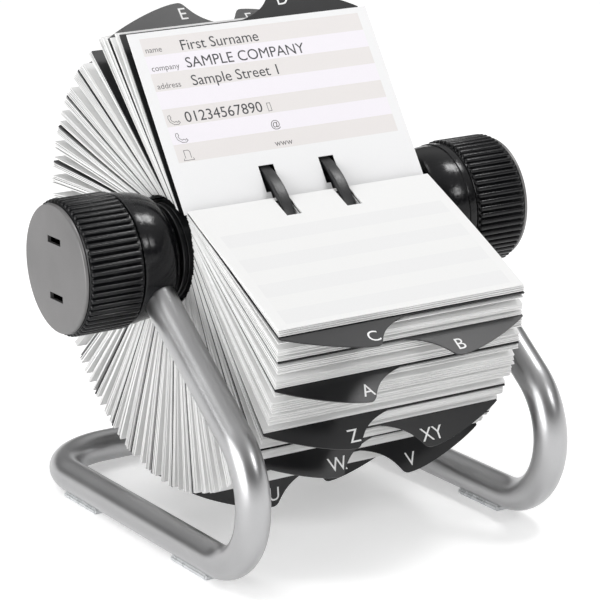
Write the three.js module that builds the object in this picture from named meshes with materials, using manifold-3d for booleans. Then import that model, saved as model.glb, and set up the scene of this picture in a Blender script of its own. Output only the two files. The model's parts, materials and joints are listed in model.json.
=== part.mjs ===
// Rotary card file: a wheel of index cards that turns between two knobs on a bent tube stand.
// Millimetres. X runs along the axle, the reader sits on the -Y side, and +Z is up.
// The origin is on the desk under the middle of the object.
import * as THREE from "three";
import { mergeVertices } from "three/addons/utils/BufferGeometryUtils.js";
import Module from "manifold-3d";

const wasm = await Module();
wasm.setup();

// ---- driving dimensions ----

const GAP = 0.3;
const DEG = Math.PI / 180;

const AXLE_Y = -5.24;
const AXLE_Z = 108.5;
const AXLE_R = 3;
const AXLE_HALF = 88;

const CARD = { width: 104, height: 72, thickness: 0.5 };
const DIVIDER_THICKNESS = 0.8;
const TAB = { height: 11.8, peak: 0.33, foot: 0.5 };
const WINDOW = { offset: 13, width: 6.6, near: 3.7, far: 14.3, throat: 3 };

// Inner and outer card edges lie on two circles. s runs from the standing card, round the back
// and the bottom, to the lying card. Angles are degrees from straight up, towards the back.
const INNER = { start: -45.9, spread: 366.6, radius: 19.8, seamRadiusFront: 2.4, seamRadiusLying: 6.3 };
const OUTER = { start: 14.5, spread: 248 };
const READING_CARD = { y: -17.4, z: 16.86, lean: 33.25 };
const FLIP_PIVOT = { along: 2.82, ahead: 0.86, sweep: 3.5 };
const LETTERS = ["D", "E", "F", "G", "H", "I", "J", "K", "L", "M", "N", "O", "P", "Q", "R", "S", "T",
  "U", "V", "W", "XY", "Z", "A", "B", "C"];
const FIRST_START = 0.019;
const EVEN_STARTS = { from: 0.047, to: 0.708 };
const LAST_STARTS = [0.806, 0.8345, 0.8545, 0.878, 0.9325, 0.9625, 0.987];
const SECTION_GAP = 0.0016;

const RAIL = { outer: 29.4, inner: 27.6, web: 1.9, flange: 4.7, root: 18.3 };
const DRUM = { outer: 18, inner: 15.6, half: 51 };
const DRUM_END = { inside: 51.3, outside: 53.3, skirt: 45 };

const HOUSING = { inside: 55, lip: 56.6, domeEnd: 68.6, outside: 72, wall: 2 };
const DOME = { lip: 18.8, neck: 19.4, radius: 23.8, collar: 24.2 };
const HUB = { radius: 8, bore: 5.8, outside: 69.6 };
const BUSH = { flangeRadius: 8, inside: 53.7, bore: 3.3, radius: 5.5 };
const WASHER = { bore: 3.6, radius: 7.8, inside: 70, outside: 71.7 };
const GRIP = { start: 72.4, end: 94.3, root: 24.1, tip: 25.15, count: 60 };
const GRIP_HUB = { radius: 7, bore: 3.3, end: 87.6, web: 74.6, wall: 22 };
const CAP = { inside: 94.6, face: 96, radius: 23.8, skirt: 88, skirtOuter: 21.7, skirtInner: 20.2 };
const CAP_SLOT = { long: 10, high: 2.5, offset: 10.5 };
const KNOB_SCREW = { head: 5.5, shank: 1.5, tapped: 1.9, depth: 9, headEnd: 91 };

const TUBE = { radius: 6.3, wall: 1.2, sideX: 64, rearY: 85.9, floorZ: -101, bend: 28, corner: 28 };
const ARM = { offset: -2.88, slope: 1.33, top: 11 };
const SOCKET = { radius: 8.6, bore: 6.7, start: 9.7, reach: 40 };
const TUBE_SCREW = { along: 16, radius: 1.5, boss: 3.4, hole: 1.9, length: 7 };
const PAD = { width: 9, length: 26, height: 2.4 };

// ---- materials ----

const paint = (color, roughness, metalness) =>
  new THREE.MeshStandardMaterial({ color, roughness, metalness });
const satinSilver = paint(0xb9babc, 0.35, 0.8);
const gloss = paint(0x161719, 0.25, 0);
const satinBlack = paint(0x202124, 0.5, 0);
const capGrey = paint(0xa9a9ab, 0.4, 0.6);
const steel = paint(0xc4c6c8, 0.3, 1);
const nylon = paint(0xe6e2d6, 0.6, 0);
const clear = paint(0xdfe4e6, 0.3, 0);
const paper = paint(0xf2f1f0, 0.8, 0);

// ---- solids ----

function solidOf(geometry) {
  const bare = geometry.clone();
  bare.deleteAttribute("normal");
  bare.deleteAttribute("uv");
  const merged = mergeVertices(bare, 1e-4);
  const mesh = new wasm.Mesh({
    numProp: 3,
    vertProperties: new Float32Array(merged.attributes.position.array),
    triVerts: new Uint32Array(merged.index.array),
  });
  return new wasm.Manifold(mesh);
}

function geometryOf(solid) {
  const mesh = solid.getMesh();
  const geometry = new THREE.BufferGeometry();
  geometry.setAttribute("position", new THREE.BufferAttribute(mesh.vertProperties, 3));
  geometry.setIndex(new THREE.BufferAttribute(mesh.triVerts, 1));
  geometry.computeVertexNormals();
  return geometry;
}

// A closed profile of [radius, x] points turned round the X axis, walked so that faces point out.
function turned(profile, sides) {
  const points = profile.map(([radius, x]) => new THREE.Vector2(radius, x));
  if (THREE.ShapeUtils.area(points) < 0) points.reverse();
  points.push(points[0].clone());
  return new THREE.LatheGeometry(points, sides).rotateZ(-Math.PI / 2);
}

function ring(inner, outer, from, to, sides) {
  return turned([[inner, from], [outer, from], [outer, to], [inner, to]], sides);
}

function rod(radius, from, to, sides) {
  return new THREE.CylinderGeometry(radius, radius, to - from, sides)
    .rotateZ(-Math.PI / 2)
    .translate((from + to) / 2, 0, 0);
}

function block(x0, x1, y0, y1, z0, z1) {
  return new THREE.BoxGeometry(x1 - x0, y1 - y0, z1 - z0)
    .translate((x0 + x1) / 2, (y0 + y1) / 2, (z0 + z1) / 2);
}

// An outline of [y, z] points, extruded along X.
function slabAcross(outline, x0, x1) {
  const points = outline.map(([y, z]) => new THREE.Vector2(y, z));
  const geometry = new THREE.ExtrudeGeometry(new THREE.Shape(points), { depth: x1 - x0, bevelEnabled: false });
  const turn = new THREE.Matrix4().makeBasis(
    new THREE.Vector3(0, 1, 0), new THREE.Vector3(0, 0, 1), new THREE.Vector3(1, 0, 0));
  return geometry.applyMatrix4(turn).translate(x0, 0, 0);
}

function part(name, geometry, material) {
  const mesh = new THREE.Mesh(geometry, material);
  mesh.name = name;
  return mesh;
}

// The left copy of a right-hand part, as its mirror image.
function mirrored(solid) {
  return solid.mirror([1, 0, 0]);
}

function pair(name, solid, material) {
  return [
    part(`left_${name}`, geometryOf(mirrored(solid)), material),
    part(`right_${name}`, geometryOf(solid), material),
  ];
}

// ---- tube frame and pads ----

// A run of lines and arcs with its own number of steps in each, so bends are fine and lines are bare.
class SteppedRoute extends THREE.Curve {
  constructor(runs) {
    super();
    this.runs = runs;
    this.steps = runs.reduce((sum, run) => sum + run.steps, 0);
  }

  locate(u) {
    let step = u * this.steps;
    for (const run of this.runs) {
      if (step <= run.steps + 1e-6) return [run.curve, Math.min(step / run.steps, 1)];
      step -= run.steps;
    }
    const last = this.runs[this.runs.length - 1];
    return [last.curve, 1];
  }

  getPointAt(u) {
    const [curve, t] = this.locate(u);
    return curve.getPoint(t);
  }

  getTangentAt(u) {
    const [curve, t] = this.locate(u);
    return curve.getTangent(t);
  }
}

class Bend extends THREE.Curve {
  constructor(centre, from, towards, angle) {
    super();
    this.centre = centre;
    this.from = from;
    this.towards = towards;
    this.angle = angle;
  }

  getPoint(t) {
    const a = this.angle * t;
    return this.centre.clone()
      .addScaledVector(this.from, Math.cos(a))
      .addScaledVector(this.towards, Math.sin(a));
  }
}

const armDown = new THREE.Vector3(0, -ARM.slope, -1).normalize();
const armTurn = Math.PI - Math.atan2(1, ARM.slope);
const bendBack = TUBE.bend / Math.tan((Math.PI - armTurn) / 2);
const bendY = ARM.offset + ARM.slope * TUBE.floorZ + bendBack;

function armPoint(x, distance) {
  return new THREE.Vector3(x, ARM.offset, 0).addScaledVector(armDown, distance);
}

// One side of the frame, from the arm's top to the middle of the rear bar.
function sideRuns(side) {
  const x = side * TUBE.sideX;
  const bendCentre = new THREE.Vector3(x, bendY, TUBE.floorZ + TUBE.bend);
  const armNormal = new THREE.Vector3(0, -1, ARM.slope).normalize();
  const bend = new Bend(
    bendCentre,
    armNormal.clone().multiplyScalar(TUBE.bend),
    armDown.clone().multiplyScalar(TUBE.bend),
    armTurn);
  const bendTop = bend.getPoint(0);
  const bendEnd = bend.getPoint(1);
  const cornerY = TUBE.rearY - TUBE.corner;
  const corner = new Bend(
    new THREE.Vector3(x - side * TUBE.corner, cornerY, TUBE.floorZ),
    new THREE.Vector3(side * TUBE.corner, 0, 0),
    new THREE.Vector3(0, TUBE.corner, 0),
    Math.PI / 2);
  return [
    { curve: new THREE.LineCurve3(armPoint(x, ARM.top), bendTop), steps: 1 },
    { curve: bend, steps: 12 },
    { curve: new THREE.LineCurve3(bendEnd, corner.getPoint(0)), steps: 1 },
    { curve: corner, steps: 7 },
  ];
}

class Reversed extends THREE.Curve {
  constructor(curve) {
    super();
    this.curve = curve;
  }

  getPoint(t) {
    return this.curve.getPoint(1 - t);
  }
}

function frameRoute() {
  const left = sideRuns(-1);
  const right = sideRuns(1).reverse().map((run) => ({ curve: new Reversed(run.curve), steps: run.steps }));
  const rearBar = new THREE.LineCurve3(left[3].curve.getPoint(1), right[0].curve.getPoint(0));
  return new SteppedRoute([...left, { curve: rearBar, steps: 1 }, ...right]);
}

function circle(radius, sides) {
  const points = [];
  for (let i = 0; i < sides; i++) {
    const angle = (i + 0.5) * 2 * Math.PI / sides;
    points.push(new THREE.Vector2(radius * Math.cos(angle), radius * Math.sin(angle)));
  }
  return points;
}

function tubeFrame() {
  const section = new THREE.Shape(circle(TUBE.radius, 16));
  section.holes.push(new THREE.Path(circle(TUBE.radius - TUBE.wall, 8)));
  const route = frameRoute();
  return new THREE.ExtrudeGeometry(section, { steps: route.steps, extrudePath: route });
}

// A soft pad between a floor bar and the desk, hollowed to the tube.
function pad(x, y) {
  const deskZ = -AXLE_Z;
  const half = PAD.width / 2;
  const slab = solidOf(block(x - half, x + half, y - PAD.length / 2, y + PAD.length / 2, deskZ, deskZ + PAD.height));
  const bed = new THREE.CylinderGeometry(TUBE.radius + GAP, TUBE.radius + GAP, PAD.length + 2, 24)
    .translate(x, y, TUBE.floorZ);
  return geometryOf(slab.subtract(solidOf(bed)));
}

function pads() {
  const frontY = bendY + PAD.length / 2;
  const rearY = TUBE.rearY - TUBE.corner - PAD.length / 2;
  return [
    part("left_front_pad", pad(-TUBE.sideX, frontY), clear),
    part("right_front_pad", pad(TUBE.sideX, frontY), clear),
    part("left_rear_pad", pad(-TUBE.sideX, rearY), clear),
    part("right_rear_pad", pad(TUBE.sideX, rearY), clear),
  ];
}

// ---- bearing housings ----

// The dome swells from the lip by the wheel to the collar by the knob.
function domeProfile(inward) {
  const steps = 5;
  const length = HOUSING.domeEnd - HOUSING.lip;
  const profile = [];
  for (let i = 0; i <= steps; i++) {
    const angle = i / steps * Math.PI / 2;
    const x = HOUSING.lip + length * (1 - Math.cos(angle));
    profile.push([DOME.neck + (DOME.radius - DOME.neck) * Math.sin(angle) - inward, x]);
  }
  return profile;
}

// A round bar along the tube's arm, between two distances from the axle.
function alongArm(radius, from, to, sides) {
  const bar = new THREE.CylinderGeometry(radius, radius, to - from, sides);
  const turn = new THREE.Quaternion().setFromUnitVectors(new THREE.Vector3(0, 1, 0), armDown);
  const middle = armPoint(TUBE.sideX, (from + to) / 2);
  return solidOf(bar.applyQuaternion(turn).translate(middle.x, middle.y, middle.z));
}

// A round bar square to the arm, on its lower rear side, at the tube screw's place.
function acrossArm(radius, from, to, sides) {
  const outward = new THREE.Vector3(0, 1, -ARM.slope).normalize();
  const bar = new THREE.CylinderGeometry(radius, radius, to - from, sides);
  const turn = new THREE.Quaternion().setFromUnitVectors(new THREE.Vector3(0, 1, 0), outward);
  const middle = armPoint(TUBE.sideX, TUBE_SCREW.along).addScaledVector(outward, (from + to) / 2);
  return solidOf(bar.applyQuaternion(turn).translate(middle.x, middle.y, middle.z));
}

function housing() {
  const sides = 24;
  const beyond = HOUSING.outside + 1;
  const whole = solidOf(turned([
    [0, HOUSING.inside],
    [DOME.lip, HOUSING.inside],
    [DOME.lip, HOUSING.lip],
    ...domeProfile(0),
    [DOME.collar, HOUSING.domeEnd],
    [DOME.collar, HOUSING.outside],
    [0, HOUSING.outside],
  ], sides));
  const cavityStart = HOUSING.lip + HOUSING.wall;
  const cavity = solidOf(turned([
    [HUB.radius, cavityStart],
    [DOME.neck - HOUSING.wall, cavityStart],
    ...domeProfile(HOUSING.wall).filter(([, x]) => x > cavityStart),
    [DOME.collar - HOUSING.wall, HOUSING.domeEnd],
    [DOME.collar - HOUSING.wall, beyond],
    [0, beyond],
    [0, HUB.outside],
    [HUB.radius, HUB.outside],
  ], sides));
  const socket = alongArm(SOCKET.radius, SOCKET.start, SOCKET.reach, 20);
  const boss = acrossArm(TUBE_SCREW.boss, SOCKET.bore, SOCKET.reach, 12);
  const recess = solidOf(rod(WASHER.radius + 2 * GAP, HUB.outside, beyond, 20));
  const bore = solidOf(rod(HUB.bore, HOUSING.inside - 1, beyond, 20));
  return whole
    .subtract(cavity)
    .add(socket.add(boss).intersect(whole))
    .subtract(recess)
    .subtract(bore)
    .subtract(alongArm(SOCKET.bore, ARM.top - GAP, SOCKET.reach, 20))
    .subtract(acrossArm(TUBE_SCREW.hole, 0, SOCKET.reach, 12));
}

function bush() {
  const flangeEnd = HOUSING.inside - GAP;
  return solidOf(turned([
    [BUSH.bore, BUSH.inside],
    [BUSH.flangeRadius, BUSH.inside],
    [BUSH.flangeRadius, flangeEnd],
    [BUSH.radius, flangeEnd],
    [BUSH.radius, HUB.outside],
    [BUSH.bore, HUB.outside],
  ], 20));
}

function frictionWasher() {
  return solidOf(ring(WASHER.bore, WASHER.radius, WASHER.inside, WASHER.outside, 20));
}

function tubeScrew() {
  const start = TUBE.radius + GAP;
  return acrossArm(TUBE_SCREW.radius, start, start + TUBE_SCREW.length, 10);
}

// ---- knobs and axle ----

function gripRibs() {
  const points = [];
  for (let i = 0; i < GRIP.count; i++) {
    for (const [radius, shift] of [[GRIP.root, 0], [GRIP.tip, 0.5]]) {
      const angle = (i + shift) * 2 * Math.PI / GRIP.count;
      points.push([radius * Math.cos(angle), radius * Math.sin(angle)]);
    }
  }
  return solidOf(slabAcross(points, GRIP.start, GRIP.end));
}

function knobGrip() {
  const hollow = solidOf(turned([
    [GRIP_HUB.radius, GRIP_HUB.web],
    [GRIP_HUB.wall, GRIP_HUB.web],
    [GRIP_HUB.wall, GRIP.end + 1],
    [0, GRIP.end + 1],
    [0, GRIP_HUB.end],
    [GRIP_HUB.radius, GRIP_HUB.end],
  ], 24));
  const bore = solidOf(rod(GRIP_HUB.bore, GRIP.start - 1, GRIP.end + 1, 16));
  return gripRibs().subtract(hollow).subtract(bore);
}

function knobCap() {
  const round = 1;
  const disc = solidOf(turned([
    [0, CAP.inside],
    [CAP.skirtInner, CAP.inside],
    [CAP.skirtInner, CAP.skirt],
    [CAP.skirtOuter, CAP.skirt],
    [CAP.skirtOuter, CAP.inside],
    [CAP.radius, CAP.inside],
    [CAP.radius, CAP.face - round / 2],
    [CAP.radius - round, CAP.face],
    [0, CAP.face],
  ], 32));
  const half = CAP_SLOT.long / 2;
  const slots = [-1, 1].map((side) => {
    const z = side * CAP_SLOT.offset;
    return solidOf(block(
      CAP.inside - 1, CAP.face + 1, -half, half, z - CAP_SLOT.high / 2, z + CAP_SLOT.high / 2));
  });
  return disc.subtract(slots[0]).subtract(slots[1]);
}

function knobScrew() {
  const headStart = AXLE_HALF + GAP;
  return solidOf(turned([
    [0, AXLE_HALF - KNOB_SCREW.depth + 1],
    [KNOB_SCREW.shank, AXLE_HALF - KNOB_SCREW.depth + 1],
    [KNOB_SCREW.shank, headStart],
    [KNOB_SCREW.head, headStart],
    [KNOB_SCREW.head - 0.8, KNOB_SCREW.headEnd],
    [0, KNOB_SCREW.headEnd],
  ], 16));
}

function axle() {
  const tapped = AXLE_HALF - KNOB_SCREW.depth;
  return solidOf(turned([
    [0, -tapped],
    [KNOB_SCREW.tapped, -tapped],
    [KNOB_SCREW.tapped, -AXLE_HALF],
    [AXLE_R, -AXLE_HALF],
    [AXLE_R, AXLE_HALF],
    [KNOB_SCREW.tapped, AXLE_HALF],
    [KNOB_SCREW.tapped, tapped],
    [0, tapped],
  ], 16));
}

// ---- drum and rails ----

function drumCore() {
  return solidOf(ring(DRUM.inner, DRUM.outer, -DRUM.half, DRUM.half, 32));
}

function drumEnd() {
  const skirtOuter = DRUM.inner - GAP - 0.1;
  const skirtInner = skirtOuter - 1.6;
  const hubRadius = 6;
  return solidOf(turned([
    [GRIP_HUB.bore, DRUM_END.skirt],
    [hubRadius, DRUM_END.skirt],
    [hubRadius, DRUM_END.inside],
    [skirtInner, DRUM_END.inside],
    [skirtInner, DRUM_END.skirt],
    [skirtOuter, DRUM_END.skirt],
    [skirtOuter, DRUM_END.inside],
    [DRUM.outer, DRUM_END.inside],
    [DRUM.outer, DRUM_END.outside],
    [GRIP_HUB.bore, DRUM_END.outside],
  ], 24));
}

function cardRail() {
  const web = RAIL.web / 2;
  const flange = RAIL.flange / 2;
  return solidOf(turned([
    [RAIL.root, -web],
    [RAIL.inner, -web],
    [RAIL.inner, -flange],
    [RAIL.outer, -flange],
    [RAIL.outer, flange],
    [RAIL.inner, flange],
    [RAIL.inner, web],
    [RAIL.root, web],
  ], 36)).translate(WINDOW.offset, 0, 0);
}

// ---- cards ----

function innerEdge(s) {
  const lift = s < 0.5 ? INNER.seamRadiusFront : INNER.seamRadiusLying;
  const radius = INNER.radius + lift * (2 * s - 1) ** 2;
  const angle = (INNER.start + INNER.spread * s) * DEG;
  return new THREE.Vector2(radius * Math.sin(angle), radius * Math.cos(angle));
}

// The unit direction from a card's inner edge to its outer edge, in the Y-Z plane.
function cardDirection(s) {
  const inner = innerEdge(s);
  const angle = (OUTER.start + OUTER.spread * s) * DEG;
  const ray = new THREE.Vector2(Math.sin(angle), Math.cos(angle));
  const along = inner.dot(ray);
  const reach = along + Math.sqrt(CARD.height ** 2 - inner.lengthSq() + along ** 2);
  return ray.multiplyScalar(reach).sub(inner).normalize();
}

function cardPoint(s, distance) {
  const point = innerEdge(s).addScaledVector(cardDirection(s), distance);
  return [point.x, point.y];
}

// A divider's outer edge from left to right. A long crowned ramp climbs from the corner to a tight
// peak, and an S falls back to the card's edge. side is -1 for a tab on the left and 1 for the right.
function tabbedEdge(side) {
  const half = CARD.width / 2;
  const peak = CARD.width * TAB.peak - half;
  const foot = CARD.width * TAB.foot - half;
  const curve = new THREE.Path();
  curve.moveTo(-half, 0);
  curve.bezierCurveTo(-half + 7.5, TAB.height * 0.39, peak - 9, TAB.height * 0.98, peak - 0.6, TAB.height);
  curve.quadraticCurveTo(peak + 1.2, TAB.height, peak + 2.2, TAB.height * 0.87);
  curve.bezierCurveTo(peak + 5.2, TAB.height * 0.47, peak + 8.6, TAB.height * 0.19, foot, 0);
  const leftTab = curve.getPoints(4).map(({ x, y }) => new THREE.Vector2(x, CARD.height + y));
  leftTab.push(new THREE.Vector2(half, CARD.height));
  return side < 0 ? leftTab : leftTab.map(({ x, y }) => new THREE.Vector2(-x, y)).reverse();
}

// A plate in card coordinates: across is X, up is the distance from the inner edge.
function cardShape(top) {
  const half = CARD.width / 2;
  const points = [new THREE.Vector2(-half, 0), ...top, new THREE.Vector2(half, 0)];
  return new THREE.Shape(points);
}

// Stands a card-shaped plate at a place on the wheel, its thickness centred on the card's plane.
function placedPlate(shape, thickness, inner, direction) {
  const across = new THREE.Vector3(1, 0, 0);
  const up = new THREE.Vector3(0, direction.x, direction.y);
  const forward = new THREE.Vector3().crossVectors(across, up);
  const geometry = new THREE.ExtrudeGeometry(shape, { depth: thickness, bevelEnabled: false });
  geometry.translate(0, 0, -thickness / 2);
  geometry.applyMatrix4(new THREE.Matrix4().makeBasis(across, up, forward));
  return solidOf(geometry.translate(0, inner.x, inner.y));
}

// The reading card's direction from its inner edge, and the axis it flips about.
function readingDirection() {
  const lean = READING_CARD.lean * DEG;
  return new THREE.Vector2(Math.sin(lean), Math.cos(lean));
}

function flipPivot() {
  const direction = readingDirection();
  const ahead = new THREE.Vector2(-direction.y, direction.x);
  return new THREE.Vector2(READING_CARD.y, READING_CARD.z)
    .addScaledVector(direction, FLIP_PIVOT.along)
    .addScaledVector(ahead, FLIP_PIVOT.ahead);
}

// The room that the reading card's inner edge sweeps as it flips.
function flipSweep() {
  const pivot = flipPivot();
  const room = rod(FLIP_PIVOT.sweep, -CARD.width, CARD.width, 24);
  return solidOf(room.translate(0, pivot.x, pivot.y));
}

// The windows and throats that let a span of cards hang on both rails.
function railCuts(outline, width) {
  const half = width / 2;
  const cut = (x) => solidOf(slabAcross(outline, x - half, x + half));
  return cut(-WINDOW.offset).add(cut(WINDOW.offset));
}

function span(s0, s1, near, far) {
  return [cardPoint(s0, near), cardPoint(s0, far), cardPoint(s1, far), cardPoint(s1, near)].reverse();
}

// One divider and the cards filed behind it, as one wedge from s0 to s1.
function indexSection(s0, s1, side) {
  const half = CARD.width / 2;
  const start = s0 + SECTION_GAP;
  const end = s1 - SECTION_GAP;
  const wedge = solidOf(slabAcross(span(start, end, 0, CARD.height), -half, half));
  const direction = cardDirection(start);
  const behind = new THREE.Vector2(direction.y, -direction.x);
  const inner = innerEdge(start).addScaledVector(behind, DIVIDER_THICKNESS / 2);
  const divider = placedPlate(cardShape(tabbedEdge(side)), DIVIDER_THICKNESS, inner, direction);
  const reach = 1.5 * SECTION_GAP;
  const windows = railCuts(span(s0 - reach, s1 + reach, WINDOW.near, WINDOW.far), WINDOW.width);
  const throats = railCuts(span(s0 - reach, s1 + reach, -2, WINDOW.near + 1), WINDOW.throat);
  return wedge.add(divider).subtract(windows).subtract(throats);
}

function sectionStarts() {
  const even = LETTERS.length - LAST_STARTS.length - 1;
  const step = (EVEN_STARTS.to - EVEN_STARTS.from) / (even - 1);
  const starts = Array.from({ length: even }, (_, i) => EVEN_STARTS.from + i * step);
  return [FIRST_START, ...starts, ...LAST_STARTS, 1];
}

// Tabs take turns: left on D's neighbours C and E, right on D. A and Z are both on the left.
function tabSide(index) {
  const firstAfterZ = LETTERS.indexOf("A");
  const turns = index < firstAfterZ ? index : index - 1;
  return turns % 2 === 0 ? 1 : -1;
}

function indexSections() {
  const starts = sectionStarts();
  return LETTERS.map((letter, i) => {
    const section = indexSection(starts[i], starts[i + 1], tabSide(i));
    const solid = i === 0 ? section.subtract(flipSweep()) : section;
    return part(`section_${letter}`, geometryOf(solid), paper);
  });
}

function readingCard() {
  const half = CARD.width / 2;
  const direction = readingDirection();
  const origin = new THREE.Vector2();
  const shape = cardShape([new THREE.Vector2(-half, CARD.height), new THREE.Vector2(half, CARD.height)]);
  let solid = placedPlate(shape, CARD.thickness, origin, direction);
  for (const x of [-WINDOW.offset, WINDOW.offset]) {
    const window = rectangle(x, WINDOW.width / 2, WINDOW.near, WINDOW.far);
    const throat = rectangle(x, WINDOW.throat / 2, -1, WINDOW.near + 1);
    for (const opening of [window, throat]) {
      solid = solid.subtract(placedPlate(opening, 4 * CARD.thickness, origin, direction));
    }
  }
  const mesh = part("reading_card", geometryOf(solid), paper);
  mesh.position.set(0, READING_CARD.y, READING_CARD.z);
  return mesh;
}

function rectangle(x, half, low, high) {
  return new THREE.Shape([
    new THREE.Vector2(x - half, low),
    new THREE.Vector2(x + half, low),
    new THREE.Vector2(x + half, high),
    new THREE.Vector2(x - half, high),
  ]);
}

// ---- assembly ----

// Everything is built round the axle, then lifted onto the desk.
const stand = new THREE.Group();
stand.add(part("tube_frame", tubeFrame(), satinSilver));
stand.add(...pads());
stand.add(...pair("bearing_housing", housing(), gloss));
stand.add(...pair("bearing_bush", bush(), nylon));
stand.add(...pair("friction_washer", frictionWasher(), nylon));
stand.add(...pair("tube_screw", tubeScrew(), steel));

const wheel = new THREE.Group();
wheel.add(part("axle", geometryOf(axle()), steel));
wheel.add(...pair("knob_grip", knobGrip(), gloss));
wheel.add(...pair("knob_cap", knobCap(), capGrey));
wheel.add(...pair("knob_screw", knobScrew(), steel));
wheel.add(part("drum_core", geometryOf(drumCore()), satinBlack));
wheel.add(...pair("drum_end", drumEnd(), satinBlack));
wheel.add(...pair("card_rail", cardRail(), satinBlack));
wheel.add(...indexSections());
wheel.add(readingCard());

const cardFile = new THREE.Group();
cardFile.add(stand, wheel);
cardFile.position.set(0, AXLE_Y, AXLE_Z);
export default cardFile;
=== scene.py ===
"""Looks of the rotary card file: the cards, dividers, print, knobs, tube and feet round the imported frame.

Shapes are worked out in millimetres from the middle of the axle: X along the axle, Y to the back
and Z up. build() turns them into metres in the frame's own place.
"""
import json
from collections import namedtuple
from math import atan2, cos, hypot, pi, radians, sin, sqrt, tan

import bmesh
import bpy
import numpy as np
from mathutils import Matrix, Vector

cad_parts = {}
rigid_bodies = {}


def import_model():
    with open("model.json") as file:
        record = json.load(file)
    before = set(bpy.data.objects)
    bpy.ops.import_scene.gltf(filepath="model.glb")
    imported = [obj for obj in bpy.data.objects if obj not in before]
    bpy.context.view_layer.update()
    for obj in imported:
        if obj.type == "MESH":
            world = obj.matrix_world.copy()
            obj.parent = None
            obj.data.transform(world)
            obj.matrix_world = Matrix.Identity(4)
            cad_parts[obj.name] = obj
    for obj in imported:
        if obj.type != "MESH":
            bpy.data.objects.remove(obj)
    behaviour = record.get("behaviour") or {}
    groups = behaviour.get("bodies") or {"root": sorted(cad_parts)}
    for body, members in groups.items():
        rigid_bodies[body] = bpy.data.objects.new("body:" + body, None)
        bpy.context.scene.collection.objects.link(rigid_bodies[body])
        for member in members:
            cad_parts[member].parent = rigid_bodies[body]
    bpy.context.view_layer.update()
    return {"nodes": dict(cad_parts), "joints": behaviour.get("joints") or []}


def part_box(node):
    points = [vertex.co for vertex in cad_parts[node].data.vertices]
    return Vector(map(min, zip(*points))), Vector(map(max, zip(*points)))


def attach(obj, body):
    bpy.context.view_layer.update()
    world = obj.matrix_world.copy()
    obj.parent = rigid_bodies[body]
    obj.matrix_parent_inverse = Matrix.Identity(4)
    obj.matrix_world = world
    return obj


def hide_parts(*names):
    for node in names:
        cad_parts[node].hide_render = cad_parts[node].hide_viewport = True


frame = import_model()

# ---- driving dimensions, in millimetres and degrees, with places along the fan from 0 to 1 ----

MM = 0.001
AXLE = Vector(next(joint for joint in frame["joints"] if joint["name"] == "wheel_spin")["pos_m"])
RANDOM = np.random.default_rng(11)

CARD_WIDTH = 104
CARD_HEIGHT = 72
CARD_THICKNESS = 0.32
DIVIDER_THICKNESS = 0.5
TAB_HEIGHT = 11.8
TAB_PEAK = 0.33
TAB_FOOT = 0.5
WINDOW_OFFSET = 13
WINDOW_WIDTH = 6.6
WINDOW_NEAR = 3.7
WINDOW_FAR = 14.3
THROAT_WIDTH = 3

INNER_START = -45.9
INNER_SPREAD = 366.6
INNER_RADIUS = 19.8
SEAM_LIFT_FRONT = 2.4
SEAM_LIFT_LYING = 6.3
OUTER_START = 14.5
OUTER_SPREAD = 248
LETTERS = [*"DEFGHIJKLMNOPQRSTUVW", "XY", *"ZABC"]
FIRST_START = 0.019
EVEN_START, EVEN_END = 0.047, 0.708
LAST_STARTS = [0.806, 0.8345, 0.8545, 0.878, 0.9325, 0.9625, 0.987]
SECTION_GAP = 0.0016
CARDS_PER_WHEEL = 300
SPARSE_END = 0.3
SPARSE_FILL = 0.8
FEWEST_CARDS = 4
OPEN_SECTION = "E"
OPEN_GAP = 8
CARD_SLIP = 0.16

# Gaps between cards, as weights that share out a section: inside a bundle, after one, and at the ends.
FIRST_GAP = 0.8
INNER_TIGHT, INNER_LOOSE, INNER_LAST = (0.36, 0.4), (0.45, 0.6), 0.3
OUTER_TIGHT, OUTER_LOOSE, OUTER_LAST = (0.4, 0.62), (1.6, 3.4), (0.2, 0.9)

READING_INNER = np.array([-17.4, 16.86])
READING_LEAN = 33.25
READING_THICKNESS = 0.3
FLIP_ALONG = 2.82
FLIP_AHEAD = 0.86
FLIP_SWEEP = 3.5

LETTER_HEIGHT = 5.0
LETTER_X = {-1: -17.5, 1: 20}
LETTER_V = CARD_HEIGHT + 6.9
INK_HALF = 0.015
BAND_LOW = 19.9
BAND_HEIGHT = 7.1
BAND_COUNT = 7
BAND_HALF_WIDTH = 47.6

TUBE_RADIUS = 6.3
TUBE_WALL = 1.2
TUBE_SIDE = 64
TUBE_REAR = 85.9
TUBE_FLOOR = -101
TUBE_BEND = 28
PAD_EDGE = 0.7
PAD_CLEARANCE = 0.05
ARM_OFFSET = -2.88
ARM_SLOPE = 1.33
ARM_TOP = 11
SOCKET_RADIUS = 8.6
SOCKET_BORE = 6.5
SOCKET_START = 9.7
SOCKET_REACH = 40
SCREW_ALONG = 16
SCREW_BOSS = 3.4
SCREW_HOLE = 1.9

HOUSING_INSIDE = 55
HOUSING_LIP = 56.6
HOUSING_DOME_END = 68.6
HOUSING_OUTSIDE = 72
DOME_NECK = 19.4
DOME_RADIUS = 23.8
GRIP_START = 72.4
GRIP_END = 94.3
GRIP_ROOT = 24.0
GRIP_TIP = 25.15
GRIP_COUNT = 60
CAP_RADIUS = 23.8
CAP_INSIDE = 94.6
CAP_FACE = 96
SPIGOT_END = 88
SPIGOT_BORE = 20.2
SPIGOT_RADIUS = 21.7
CAP_SLOT_LONG = 10
CAP_SLOT_HIGH = 2.5
CAP_SLOT_OFFSET = 10.5

Part = namedtuple("Part", "points faces paint plan tone")
Finish = namedtuple("Finish", "material slot")


# ---- meshes ----

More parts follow.
